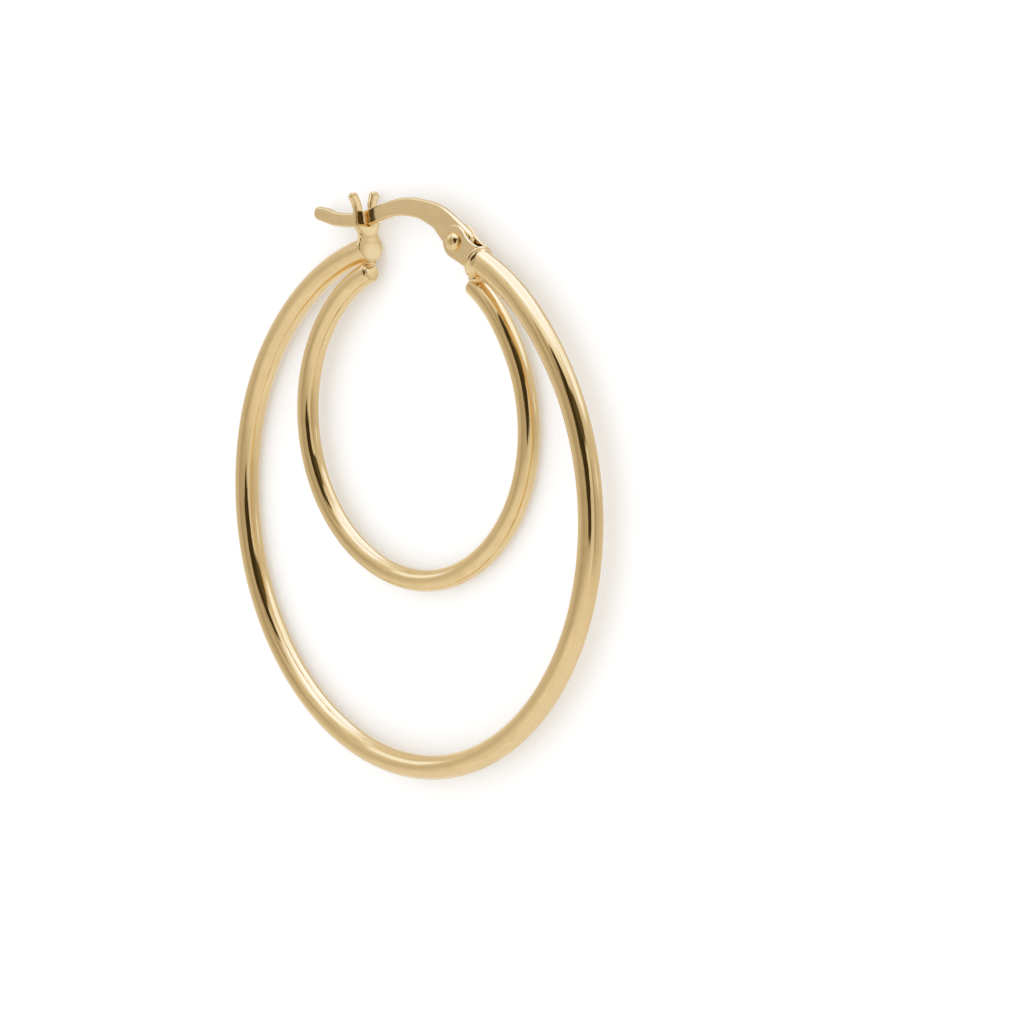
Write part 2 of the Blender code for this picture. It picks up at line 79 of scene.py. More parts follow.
CATCH_THICKNESS = 0.42 * MM
CATCH_LEAN = math.radians(3.5)
CATCH_SHIFT = 0.11 * MM
CATCH_LOBE_RADIUS = 1.03 * MM
LOBE_SPREAD = 1.1
CATCH_HEIGHT = 4.07 * MM
SLOT_DEPTH = 2.52 * MM
SLOT_HALF = 0.37 * MM
PLATE_EDGE = 0.11 * MM
LOBE_ARC_END = math.radians(30.0)
PRONG_TIP_PLACE = 0.97 * MM
PRONG_TIP_RADIUS = 0.36 * MM
PRONG_TIP_START = math.radians(-5.0)
PRONG_TIP_END = math.radians(170.0)
NECK_HALF = 0.4 * MM
NECK_SQUARENESS = 0.7
NECK_DEPTH = 0.3 * MM
NECK_TOP = -0.8 * MM
NECK_BOTTOM = -1.38 * MM
NECK_SET_BACK = 0.36 * MM
NECK_RIDGES = 3
NECK_RIDGE_RISE = 0.05 * MM
COLLAR_DIAMETER = 2.4 * MM
COLLAR_RADIUS = 1.25 * MM
COLLAR_THICKNESS = 0.42 * MM
COLLAR_OFFSET = 0.12 * MM
EAR_THICKNESS = 0.3 * MM
EAR_EDGE = 0.11 * MM
EAR_RADIUS = 1.21 * MM
PIVOT_REACH = 2.18 * MM
PIVOT_RISE = 0.68 * MM
EAR_NECK_TOP = 1.34 * MM
EAR_TOP_FILLET = 2.2 * MM
EAR_ROOT_FILLET = 0.42 * MM
BEAD_LENGTH = 1.1 * MM
BEAD_WIDTH = 1.5 * MM
BEAD_HEIGHT = 0.9 * MM
BEAD_SHIFT = 0.3 * MM
WIRE_THICKNESS = 0.56 * MM
WIRE_EDGE = 0.16 * MM
WIRE_BOSS_RADIUS = 1.22 * MM
HEEL_LENGTH = 1.25 * MM
HEEL_CORNER = 0.85 * MM
HEEL_SLOPE = math.radians(-35.5)
BOSS_ARC_START = math.radians(-170.0)
HEEL_LEAD = math.radians(30.0)
WIRE_SEAT_HALF = 0.56 * MM
TAIL_LENGTH = 5.8 * MM
TAIL_TIP_RADIUS = 0.5 * MM
SHANK_DIAMETER = 0.8 * MM
HEAD_DIAMETER = 1.32 * MM
HEAD_HEIGHT = 0.32 * MM
DOME_HEIGHT = 0.46 * MM
SIDE_CLEARANCE = 0.04 * MM
SEAT_CLEARANCE = 0.04 * MM
HEAD_CLEARANCE = 0.03 * MM
SHANK_CLEARANCE = 0.05 * MM

# Outer edge of the catch plate from its lobe up to the tip of a prong. Columns: half width and
# height above the lobe's centre, in millimetres
PLATE_OUTSIDE = [
    (0.92, 0.70),
    (0.81, 0.93),
    (0.87, 1.17),
    (1.03, 1.42),
    (1.12, 1.70),
    (1.11, 2.05),
    (1.06, 2.45),
    (1.03, 2.85),
    (1.10, 3.20),
    (1.22, 3.48),
]

# Inner edge of a prong from its tip down to the slot. The same columns
PRONG_INSIDE = [
    (0.50, 3.50),
    (0.41, 3.25),
    (0.37, 2.85),
]

# Ear wire from pivot to catch. Columns: share of the way, rise as a share of the way, half width
# as a share of the boss radius
WIRE_STATIONS = [
    (0.156, 0.090, 0.84),
    (0.233, 0.127, 0.74),
    (0.323, 0.147, 0.68),
    (0.418, 0.158, 0.60),
    (0.516, 0.156, 0.57),
    (0.615, 0.143, 0.53),
    (0.708, 0.119, 0.49),
    (0.798, 0.083, 0.485),
    (0.906, 0.040, 0.48),
]

# Tail of the ear wire. Columns: share of its length, rise as a share of its length, half width as
# a share of the boss radius
TAIL_STATIONS = [
    (0.19, -0.055, 0.44),
    (0.41, -0.093, 0.42),
    (0.62, -0.105, 0.43),
    (0.78, -0.092, 0.44),
]
TAIL_TIP_SHARE = -0.089

# Half section of the collar and its solder fillet, from its face to the back. Columns: share of
# the collar's radius and of its thickness
COLLAR_PROFILE = [
    (0.00, 0.00),
    (0.72, 0.00),
    (0.80, 0.02),
    (0.88, 0.10),
    (0.95, 0.23),
    (0.99, 0.38),
    (1.00, 0.52),
    (0.99, 0.64),
    (0.95, 0.76),
    (0.90, 0.88),
    (0.85, 1.02),
    (0.81, 1.20),
    (0.78, 1.45),
    (0.75, 1.80),
    (0.70, 1.90),
    (0.00, 1.90),
]

# Fineness of the surfaces
OUTER_STEPS = 480
INNER_STEPS = 360
TUBE_BEVEL_RESOLUTION = 22
SHEET_BEVEL_RESOLUTION = 4
ROUND_STEPS = 96
END_STEPS = 10
DOME_STEPS = 16
ARC_STEP = math.radians(5.0)
ARC_STEP_SLACK = 1e-6
STATIONS_PER_SPAN = 10
STEPS_PER_RIDGE = 10
BEAD_SEGMENTS = 32
BEAD_RINGS = 20
BOSS_SHARE = 0.1
WELD = 0.0005 * MM
NORMAL_WEIGHT = 90

# Skin of the hinge bracket: voxels in millimetres, and how it is smoothed
VOXEL = 0.04
SMOOTHING_FACTOR = 0.5
SMOOTHING_STEPS = 4

# Rough solder: height of the bumps, grain in cycles a millimetre, the noise's roughness, step and
# number of octaves, and the share of the reach within which the bumps have their full height
SOLDER_ROUGH = 0.035 * MM
SOLDER_GRAIN = 3.4
SOLDER_NOISE = (0.6, 2.0, 4)
SOLDER_CORE = 0.55
NECK_ROUGH = SOLDER_ROUGH / 2
NECK_ROUGH_REACH = 4 * NECK_HALF
BEAD_ROUGH_REACH = BEAD_WIDTH * 0.75

# Solder seams between the two tubes behind the hinge and the catch, each from one angle to another
SEAM_STEPS = 60
SEAM_THIN_END = 0.35
SEAM_TAPER = 0.7
SEAM_DEPTH = -0.12 * MM
SEAM_ROUGH_REACH = 4 * MM
HINGE_SEAM = (math.radians(20.6), math.radians(32.5))
HINGE_SEAM_THICKNESS = 0.56 * MM
HINGE_SEAM_SINK = 0.12 * MM
CATCH_SEAM = (math.radians(-14.8), math.radians(-18.4))
CATCH_SEAM_THICKNESS = 0.42 * MM
CATCH_SEAM_SINK = 0.08 * MM

# Camera: the photograph's view of the hoop; its focal length and picture are in pixels
VIEW_AZIMUTH = math.radians(48.2985)
VIEW_ELEVATION = math.radians(6.4842)
VIEW_ROLL = math.radians(0.6013)
CAMERA_PLACE = Vector((275.085, 40.649, 235.430)) * MM
FOCAL_PIXELS = 5036.99
PICTURE_PIXELS = 1024
SENSOR_WIDTH = 36.0
CLIP_NEAR = 0.01
CLIP_FAR = 20.0

# Floor: half its width in metres, and its finish
FLOOR_HALF = 1.5
FLOOR_GREY = (0.9, 0.9, 0.9, 1.0)
FLOOR_ROUGHNESS = 0.9
FLOOR_GLOW = 0.2
WHITE = (1.0, 1.0, 1.0, 1.0)

# Radii of the tubes' centrelines
OUTER_RADIUS = (OUTER_HOOP_WIDTH - OUTER_TUBE_DIAMETER) / 2
INNER_RADIUS = (INNER_HOOP_WIDTH - INNER_TUBE_DIAMETER) / 2


def polar(radius, angle, depth=0.0):
    """A point on a circle about the hoop's centre; angles count from the clasp towards +X."""
    return Vector((radius * math.sin(angle), radius * math.cos(angle), depth))


def arc(centre, radius, start, end, step=ARC_STEP):
    """Points along an arc in the outline's plane, both ends included."""
    count = max(2, math.ceil(abs(end - start) / step - ARC_STEP_SLACK))
    points = []
    for index in range(count + 1):
        angle = start + (end - start) * index / count
        points.append(centre + Vector((math.cos(angle), math.sin(angle))) * radius)
    return points


def smooth_rows(rows, per_span):
    """Catmull-Rom through rows of numbers, with the end rows kept."""
    padded = [rows[0]] + list(rows) + [rows[-1]]
    result = []
    for index in range(1, len(padded) - 2):
        before, start, end, after = padded[index - 1:index + 3]
        for part in range(per_span):
            t = part / per_span
            row = []
            for a, b, c, d in zip(before, start, end, after):
                cubic = 3 * (b - c) + d - a
                square = 2 * a - 5 * b + 4 * c - d
                row.append(b + 0.5 * t * (c - a + t * (square + t * cubic)))
            result.append(row)
    result.append(list(rows[-1]))
    return result


def eased(value, none, full):
    """Smooth step from 0 at one value to 1 at the other."""
    share = min(max((value - none) / (full - none), 0.0), 1.0)
    return share * share * (3 - 2 * share)


def frame_matrix(origin, x_axis, y_axis):
    """Placement whose local X and Y lie along the given directions."""
    z_axis = x_axis.cross(y_axis).normalized()
    matrix = Matrix.Identity(4)
    for row in range(3):
        matrix[row][0] = x_axis[row]
        matrix[row][1] = y_axis[row]
        matrix[row][2] = z_axis[row]
        matrix[row][3] = origin[row]
    return matrix


def outer_radius_at(angle):
    """The outer hoop leans in a little at the catch and out at the hinge."""
    inset = CATCH_END_INSET * eased(angle, INSET_FROM, INSET_FULL)
    outset = HINGE_END_OUTSET * eased(angle + 2 * math.pi, HINGE_OUTSET_NONE, HINGE_OUTSET_FULL)
    return OUTER_RADIUS - inset + outset


def inner_hoop_fit():
    """Height of the inner hoop's centre, its two end angles, and its bend outwards at the hinge."""
    both_radii = (OUTER_TUBE_DIAMETER + INNER_TUBE_DIAMETER) / 2
    spacing = outer_radius_at(CATCH_ANGLE) - both_radii + SOLDER_BITE
    catch_side = CATCH_ANGLE - CATCH_END_SETBACK / spacing
    catch_end = math.asin(spacing * math.sin(catch_side) / INNER_RADIUS)
    centre_y = spacing * math.cos(catch_side) - INNER_RADIUS * math.cos(catch_end)
    hinge_side = HINGE_ANGLE - HINGE_END_REACH / spacing
    across = centre_y * math.sin(hinge_side)
    distance = centre_y * math.cos(hinge_side) + math.sqrt(INNER_RADIUS ** 2 - across ** 2)
    hinge_end = math.asin(distance * math.sin(hinge_side) / INNER_RADIUS)
    collar_edge = OUTER_RADIUS + COLLAR_OFFSET - COLLAR_DIAMETER / 2
    outset = collar_edge + HINGE_END_BITE - INNER_TUBE_DIAMETER / 2 - distance
    return centre_y, catch_end, hinge_end, outset


def inner_hoop_matrix():
    """The inner hoop is set back from the outer one and turned a little."""
    place = Matrix.Translation((0.0, inner_hoop_fit()[0], -INNER_SET_BACK))
    return place @ Matrix.Rotation(INNER_TWIST, 4, "Y") @ Matrix.Rotation(INNER_TIP, 4, "X")


def catch_frame():
    """Local X runs across the plate, Y up the prongs, Z out of its face towards the hinge."""
    face = polar(outer_radius_at(CATCH_ANGLE), CATCH_ANGLE)
    return frame_matrix(face, Vector((0.0, 0.0, -1.0)), polar(1.0, CATCH_ANGLE + CATCH_LEAN))


def bracket_frame():
    """Local X runs from the collar's face towards the pivot, Y away from the hoop's centre."""
    along = Vector((-math.cos(HINGE_ANGLE), math.sin(HINGE_ANGLE), 0.0))
    return frame_matrix(polar(OUTER_RADIUS, HINGE_ANGLE), along, polar(1.0, HINGE_ANGLE))


def pivot_point():
    """Centre of the clasp's hinge."""
    return bracket_frame() @ Vector((PIVOT_REACH, PIVOT_RISE, 0.0))


def seat_point():
    """Middle of the ear wire where it lies on the bottom of the slot."""
    rise = CATCH_HEIGHT - SLOT_DEPTH + SEAT_CLEARANCE + WIRE_SEAT_HALF
    return catch_frame() @ Vector((0.0, rise, -CATCH_THICKNESS / 2))


def rest_matrix():
    """The hoop's frame in the row's, read from the clasp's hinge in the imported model."""
    joint = frame["joints"][0]
    tilt = Vector((0.0, 0.0, 1.0)).rotation_difference(-Vector(joint["axis"])).to_matrix().to_4x4()
    offset = Vector(joint["pos_m"]) - tilt @ pivot_point()
    return Matrix.Translation(offset) @ tilt


REST = rest_matrix()


def link_object(name, mesh, matrix=None):
    """Put a mesh or curve into the scene as an object."""
    item = bpy.data.objects.new(name, mesh)
    bpy.context.scene.collection.objects.link(item)
    if matrix is not None:
        item.matrix_world = matrix
    return item


def mesh_object(source):
    """Turn a curve or an object with modifiers into a plain welded mesh object in its place."""
    bpy.context.view_layer.update()
    evaluated = source.evaluated_get(bpy.context.evaluated_depsgraph_get())
    mesh = bpy.data.meshes.new_from_object(evaluated)
    work = bmesh.new()
    work.from_mesh(mesh)
    bmesh.ops.remove_doubles(work, verts=work.verts, dist=WELD)
    bmesh.ops.recalc_face_normals(work, faces=work.faces)
    work.to_mesh(mesh)
    work.free()
    name = source.name
    matrix = source.matrix_world.copy()
    bpy.data.objects.remove(source, do_unlink=True)
    return link_object(name, mesh, matrix)


def tube(name, points, diameter, shares=None):
    """A round wire along the points; shares scale its radius at each point."""
    curve = bpy.data.curves.new(name, "CURVE")
    curve.dimensions = "3D"
    curve.bevel_depth = diameter / 2
    curve.bevel_resolution = TUBE_BEVEL_RESOLUTION
    curve.use_fill_caps = True
    spline = curve.splines.new("POLY")
    spline.points.add(len(points) - 1)
    for index, point in enumerate(points):
        spline.points[index].co = (*point, 1.0)
        spline.points[index].radius = shares[index] if shares else 1.0
    return mesh_object(link_object(name, curve))


def flat_piece(name, outlines, thickness, edge, matrix):
    """A flat sheet piece with rounded edges; the first outline is its rim, the others are holes."""
    curve = bpy.data.curves.new(name, "CURVE")
    curve.dimensions = "2D"
    curve.fill_mode = "BOTH"
    curve.extrude = thickness / 2 - edge
    curve.bevel_depth = edge
    curve.bevel_resolution = SHEET_BEVEL_RESOLUTION
    curve.offset = -edge
    for outline in outlines:
        spline = curve.splines.new("POLY")
        spline.points.add(len(outline) - 1)
        for target, point in zip(spline.points, outline):
            target.co = (point[0], point[1], 0.0, 1.0)
        spline.use_cyclic_u = True
    return mesh_object(link_object(name, curve, matrix))


def turned_piece(name, profile, matrix):
    """A solid of revolution about local Z; the profile is (radius, height), from the top down."""
    mesh = bpy.data.meshes.new(name)
    points = [(radius, 0.0, height) for radius, height in profile]
    edges = [(index, index + 1) for index in range(len(points) - 1)]
    mesh.from_pydata(points, edges, [])
    item = link_object(name, mesh, matrix)
    screw = item.modifiers.new("Turn", "SCREW")
    screw.axis = "Z"
    screw.steps = ROUND_STEPS
    screw.render_steps = ROUND_STEPS
    screw.use_merge_vertices = True
    screw.merge_threshold = WELD
    return mesh_object(item)


def fused(name, pieces):
    """Melt pieces into one skin with soft inner corners, as soldered and polished metal has.

    The skin is made in millimetres, because Blender's voxels go no finer than 0.0001 units.
    """
    work = bmesh.new()
    for piece in pieces:
        copy = piece.data.copy()
        copy.transform(Matrix.Scale(1 / MM, 4) @ piece.matrix_world)
        work.from_mesh(copy)
        bpy.data.objects.remove(piece, do_unlink=True)
    mesh = bpy.data.meshes.new(name)
    work.to_mesh(mesh)
    work.free()
    item = link_object(name, mesh)
    remesh = item.modifiers.new("Skin", "REMESH")
    remesh.mode = "VOXEL"
    remesh.voxel_size = VOXEL
    soften = item.modifiers.new("Soften", "SMOOTH")
    soften.factor = SMOOTHING_FACTOR
    soften.iterations = SMOOTHING_STEPS
    item = mesh_object(item)
    item.data.transform(Matrix.Scale(MM, 4))
    return item


def mark_grain(item, place, ring_radius):
    """Store each point's way along the tube and place round it, in millimetres, for the marks."""
    grain = item.data.attributes.new("grain", "FLOAT_VECTOR", "POINT")
    back = place.inverted()
    for index, vertex in enumerate(item.data.vertices):
        point = back @ vertex.co
        angle = math.atan2(point.x, point.y) % (2 * math.pi)
        radial = math.hypot(point.x, point.y) - ring_radius
        grain.data[index].vector = (angle * ring_radius / MM, radial / MM, point.z / MM)


def roughen(item, centre, reach, amount):
    """Push the surface in and out near a point, like solder that was never polished."""
    for vertex in item.data.vertices:
        near = 1 - eased((vertex.co - centre).length, SOLDER_CORE * reach, reach)
        if near > 0:
            rise = noise.fractal(vertex.co / MM * SOLDER_GRAIN, *SOLDER_NOISE)
            vertex.co += vertex.normal * (rise * amount * near)


def outer_hoop():
    """The large hoop, from inside the catch plate the long way round to inside the collar."""
    first = CATCH_ANGLE - CATCH_THICKNESS / 2 / OUTER_RADIUS
    last = HINGE_ANGLE + COLLAR_THICKNESS / 2 / OUTER_RADIUS - 2 * math.pi
    points = []
    for index in range(OUTER_STEPS + 1):
        angle = first + (last - first) * index / OUTER_STEPS
        points.append(polar(outer_radius_at(angle), angle))
    item = tube("outer_hoop", points, OUTER_TUBE_DIAMETER)
    mark_grain(item, Matrix.Identity(4), OUTER_RADIUS)
    return item


def inner_hoop():
    """The smaller hoop; its wire narrows round the edge of each end face."""
    place = inner_hoop_matrix()
    catch_end, hinge_end, outset = inner_hoop_fit()[1:]
    radius = INNER_TUBE_DIAMETER / 2
    end_rows = []
    for index in range(END_STEPS):
        turn = math.pi / 2 * index / END_STEPS
        depth = INNER_END_ROUNDING * (1 - math.sin(turn)) / INNER_RADIUS
        end_rows.append((depth, 1 - INNER_END_ROUNDING / radius * (1 - math.cos(turn))))
    inset = INNER_END_ROUNDING / INNER_RADIUS
    last = 2 * math.pi + catch_end
    start = hinge_end + inset
    end = last - inset
    rows = [(hinge_end + depth, share) for depth, share in reversed(end_rows[1:])]
    for index in range(INNER_STEPS + 1):
        rows.append((start + (end - start) * index / INNER_STEPS, 1.0))
    rows += [(last - depth, share) for depth, share in end_rows[1:]]
    points = []
    for angle, share in rows:
        bend = outset * eased(angle, hinge_end + OUTSET_UNTIL, hinge_end + OUTSET_FULL)
        points.append(place @ polar(INNER_RADIUS + bend, angle))
    item = tube("inner_hoop", points, INNER_TUBE_DIAMETER, [share for angle, share in rows])
    mark_grain(item, place, INNER_RADIUS)
    return item


def inner_cap():
    """The disc that closes the inner hoop at the catch, a little smaller than its tube."""
    angle = inner_hoop_fit()[1]
    outwards = Vector((math.cos(angle), -math.sin(angle), 0.0))
    end_frame = frame_matrix(polar(INNER_RADIUS, angle), polar(1.0, angle), outwards)
    place = inner_hoop_matrix() @ end_frame
    place = place @ Matrix.Rotation(CAP_TILT - math.pi / 2, 4, "X")
    place = place @ Matrix.Translation((0.0, 0.0, CAP_RISE))
    profile = disc_profile(CAP_RADIUS, CAP_THICKNESS, CAP_ROUNDING)
    return turned_piece("inner_cap", profile, place)


def catch_outline():
    """Half of the pear and fork, then its mirror image."""
    slot_bottom = CATCH_HEIGHT - SLOT_DEPTH
    lobe = arc(Vector((0.0, 0.0)), CATCH_LOBE_RADIUS, -math.pi / 2, LOBE_ARC_END)
    half = [Vector((point.x * LOBE_SPREAD, point.y)) for point in lobe]
    outside = [(half[-1].x, half[-1].y)]
    outside += [(width * MM, height * MM) for width, height in PLATE_OUTSIDE]
    tip_centre = Vector((PRONG_TIP_PLACE, CATCH_HEIGHT - PRONG_TIP_RADIUS))
    tip = arc(tip_centre, PRONG_TIP_RADIUS, PRONG_TIP_START, PRONG_TIP_END)
    outside.append((tip[0].x, tip[0].y))
    half += [Vector(row) for row in smooth_rows(outside, STATIONS_PER_SPAN)[1:-1]]
    half += tip
    inside = [(tip[-1].x, tip[-1].y)]
    inside += [(width * MM, height * MM) for width, height in PRONG_INSIDE]
    inside.append((SLOT_HALF, slot_bottom + SLOT_HALF))
    half += [Vector(row) for row in smooth_rows(inside, STATIONS_PER_SPAN)[1:-1]]
    half += arc(Vector((0.0, slot_bottom + SLOT_HALF)), SLOT_HALF, 0.0, -math.pi / 2)
    mirrored = [Vector((-point.x, point.y)) for point in reversed(half[1:-1])]
    return half + mirrored


def catch_plate():
    """The stamped plate: a pear below and a fork of two prongs above."""
    place = catch_frame() @ Matrix.Translation((-CATCH_SHIFT, 0.0, -CATCH_THICKNESS / 2))
    return flat_piece("catch_plate", [catch_outline()], CATCH_THICKNESS, PLATE_EDGE, place)


def catch_neck():
    """The short ridged neck of solder between the pear and the end of the inner hoop."""
    profile = [(0.0, NECK_TOP)]
    count = STEPS_PER_RIDGE * NECK_RIDGES
    for index in range(count + 1):
        share = index / count
        ridge = NECK_RIDGE_RISE * math.cos(2 * math.pi * NECK_RIDGES * share)
        profile.append((NECK_HALF + ridge, NECK_TOP + (NECK_BOTTOM - NECK_TOP) * share))
    profile.append((0.0, NECK_BOTTOM))
    place = catch_frame() @ Matrix.Translation((-CATCH_SHIFT, 0.0, -NECK_SET_BACK))
    place = place @ Matrix.Diagonal((1.0, 1.0, NECK_DEPTH / NECK_HALF, 1.0))
    item = turned_piece("catch_neck", profile, place @ Matrix.Rotation(-math.pi / 2, 4, "X"))
    for vertex in item.data.vertices:
        widest = max(abs(vertex.co.x), abs(vertex.co.y))
        if widest > 0:
            squared = (math.hypot(vertex.co.x, vertex.co.y) / widest) ** NECK_SQUARENESS
            vertex.co.x *= squared
            vertex.co.y *= squared
    item.data.transform(item.matrix_world)
    item.matrix_world = Matrix.Identity(4)
    middle = place @ Vector((0.0, (NECK_TOP + NECK_BOTTOM) / 2, 0.0))
    roughen(item, middle, NECK_ROUGH_REACH, NECK_ROUGH)
    return item


def ear_outline():
    """Ear in the bracket's frame: a boss round the pivot and a neck that runs into the collar."""
    pivot = Vector((PIVOT_REACH, PIVOT_RISE))
    bite = -COLLAR_THICKNESS / 2
    low = PIVOT_RISE - EAR_RADIUS
    fillet_y = EAR_NECK_TOP + EAR_TOP_FILLET
    run = math.sqrt((EAR_RADIUS + EAR_TOP_FILLET) ** 2 - (fillet_y - PIVOT_RISE) ** 2)
    fillet = Vector((PIVOT_REACH - run, fillet_y))
    towards = fillet - pivot
    meet = math.atan2(towards.y, towards.x)
    points = [Vector((bite, low - EAR_ROOT_FILLET))]
    root = Vector((EAR_ROOT_FILLET, low - EAR_ROOT_FILLET))
    points += arc(root, EAR_ROOT_FILLET, math.pi, math.pi / 2)
    points += arc(pivot, EAR_RADIUS, -math.pi / 2, meet)
    points += arc(fillet, EAR_TOP_FILLET, meet - math.pi, -math.pi / 2, ARC_STEP / 2)[1:]
    points.append(Vector((bite, EAR_NECK_TOP)))
    return points


def circle(centre, radius):
    """Points round a hole, the first one not repeated."""
    return arc(centre, radius, 0.0, 2 * math.pi, 2 * math.pi / ROUND_STEPS)[:-1]


def disc_profile(radius, thickness, rounding):
    """Half section of a disc with rounded edges, from the middle of its face round to its base."""
    top = arc(Vector((radius - rounding, -rounding)), rounding, math.pi / 2, 0.0)
    base_corner = Vector((radius - rounding, rounding - thickness))
    base = arc(base_corner, rounding, 0.0, -math.pi / 2)
    rim = [(point.x, point.y) for point in top + base]
    return [(0.0, 0.0)] + rim + [(0.0, -thickness)]


def bead_centre():
    """Middle of the solder bead, on the collar's edge towards the inner hoop."""
    height = COLLAR_OFFSET - COLLAR_DIAMETER / 2
    return bracket_frame() @ Vector((-COLLAR_THICKNESS / 2, height, BEAD_SHIFT))


def solder_bead():
    """An oval drop of solder between the collar and the inner hoop."""
    shape = Matrix.Diagonal((BEAD_LENGTH / 2, BEAD_HEIGHT / 2, BEAD_WIDTH / 2, 1.0))
    turn = bracket_frame()
    turn.translation = bead_centre()
    mesh = bpy.data.meshes.new("solder_bead")
    work = bmesh.new()
    bmesh.ops.create_uvsphere(
        work, u_segments=BEAD_SEGMENTS, v_segments=BEAD_RINGS, radius=1.0, matrix=turn @ shape
    )
    work.to_mesh(mesh)
    work.free()
    return link_object("solder_bead", mesh)


def hinge_bracket():
    """Collar, two ears and the solder bead under them, fused and polished."""
    place = bracket_frame()
    collar_place = place @ Matrix.Translation((0.0, COLLAR_OFFSET, 0.0))
    collar_place = collar_place @ Matrix.Rotation(math.pi / 2, 4, "Y")
    profile = []
    for radius, depth in COLLAR_PROFILE:
        profile.append((radius * COLLAR_RADIUS, -depth * COLLAR_THICKNESS))
    pieces = [turned_piece("collar", profile, collar_place), solder_bead()]
    hole = circle(Vector((PIVOT_REACH, PIVOT_RISE)), SHANK_DIAMETER / 2 + SHANK_CLEARANCE)
    gap = WIRE_THICKNESS / 2 + SIDE_CLEARANCE
    for side in (-1.0, 1.0):
        shift = Matrix.Translation((0.0, 0.0, side * (gap + EAR_THICKNESS / 2)))
        outlines = [ear_outline(), hole]
        pieces.append(flat_piece("ear", outlines, EAR_THICKNESS, EAR_EDGE, place @ shift))
    item = fused("hinge_bracket", pieces)
    roughen(item, bead_centre(), BEAD_ROUGH_REACH, SOLDER_ROUGH)
    return item


def solder_seam(name, reach, thickness, sink):
    """A rough line of solder between the two tubes, thinner towards the place where they part."""
    points = []
    shares = []
    for index in range(SEAM_STEPS + 1):
        share = index / SEAM_STEPS
        angle = reach[0] + (reach[1] - reach[0]) * share
        turned = angle if angle < 0 else angle - 2 * math.pi
        tube_edge = outer_radius_at(turned) - OUTER_TUBE_DIAMETER / 2
        points.append(polar(tube_edge - SOLDER_BITE - sink * share, angle, SEAM_DEPTH))
        shares.append(SEAM_THIN_END + (1 - SEAM_THIN_END) * (1 - share) ** SEAM_TAPER)
    item = tube(name, points, thickness, shares)
    roughen(item, points[0], SEAM_ROUGH_REACH, SOLDER_ROUGH)
    return item


def ear_wire_outline():
    """Ear wire about the pivot: boss and heel, arched span to the catch, turned-up tail."""
    reach = seat_point() - pivot_point()
    span = reach.length
    along = Vector((reach.x, reach.y)).normalized()
    rise = Vector((along.y, -along.x))
    heel = Vector((math.cos(HEEL_SLOPE), math.sin(HEEL_SLOPE)))
    heel_up = Vector((-heel.y, heel.x))
    rows = [(0.0, 0.0, WIRE_BOSS_RADIUS)]
    for share, height, half in WIRE_STATIONS:
        rows.append((share * span, height * span, half * WIRE_BOSS_RADIUS))
    rows.append((span, 0.0, WIRE_SEAT_HALF))
    for share, height, half in TAIL_STATIONS:
        rows.append((span + share * TAIL_LENGTH, height * TAIL_LENGTH, half * WIRE_BOSS_RADIUS))
    tail_end = span + TAIL_LENGTH - TAIL_TIP_RADIUS
    rows.append((tail_end, TAIL_TIP_SHARE * TAIL_LENGTH, TAIL_TIP_RADIUS))
    stations = smooth_rows(rows, STATIONS_PER_SPAN)
    centres = [along * row[0] + rise * row[1] for row in stations]
    upper = []
    lower = []
    for index, (centre, row) in enumerate(zip(centres, stations)):
        if row[0] < BOSS_SHARE * span:
            continue
        before = centres[max(index - 1, 0)]
        after = centres[min(index + 1, len(centres) - 1)]
        direction = (after - before).normalized()
        side = Vector((direction.y, -direction.x))
        upper.append(centre + side * row[2])
        lower.append(centre - side * row[2])
    tip_direction = (centres[-1] - centres[-2]).normalized()
    tip_angle = math.atan2(tip_direction.y, tip_direction.x)
    tip = arc(centres[-1], TAIL_TIP_RADIUS, tip_angle - math.pi / 2, tip_angle + math.pi / 2)
    corner = heel * (HEEL_LENGTH - HEEL_CORNER) + heel_up * (WIRE_BOSS_RADIUS - HEEL_CORNER)
    heel_angle = math.atan2(heel.y, heel.x)
    outline = [heel_up * WIRE_BOSS_RADIUS]
    outline += upper[:-1]
    outline += tip
    outline += list(reversed(lower[:-1]))
    outline += arc(Vector((0.0, 0.0)), WIRE_BOSS_RADIUS, BOSS_ARC_START, heel_angle - HEEL_LEAD)
    outline.append(heel * HEEL_LENGTH)
    outline += arc(corner, HEEL_CORNER, heel_angle, heel_angle + math.pi / 2)
    return outline


def ear_wire():
    """The flat lever that goes through the ear lobe, with a hole for the rivet."""
    hole = circle(Vector((0.0, 0.0)), SHANK_DIAMETER / 2 + SHANK_CLEARANCE)
    place = Matrix.Translation(pivot_point())
    outlines = [ear_wire_outline(), hole]
    return flat_piece("ear_wire_fine", outlines, WIRE_THICKNESS, WIRE_EDGE, place)


def rivet():
    """Shank with a tall rounded head towards the viewer and a flatter one on the floor's side."""
    half = WIRE_THICKNESS / 2 + SIDE_CLEARANCE + EAR_THICKNESS + HEAD_CLEARANCE
    head = HEAD_DIAMETER / 2
    profile = []
    for index in range(DOME_STEPS + 1):
        angle = math.pi / 2 * index / DOME_STEPS
        profile.append((head * math.sin(angle), half + DOME_HEIGHT * math.cos(angle)))
    profile.append((SHANK_DIAMETER / 2, half))
    profile.append((SHANK_DIAMETER / 2, -half))
    dome_radius = (head ** 2 + HEAD_HEIGHT ** 2) / (2 * HEAD_HEIGHT)
    opening = math.asin(head / dome_radius)
    for index in range(DOME_STEPS + 1):
        angle = opening * (1 - index / DOME_STEPS)
        rise = dome_radius * (math.cos(angle) - math.cos(opening))
        profile.append((dome_radius * math.sin(angle), -half - rise))
    return turned_piece("hinge_rivet_fine", profile, Matrix.Translation(pivot_point()))


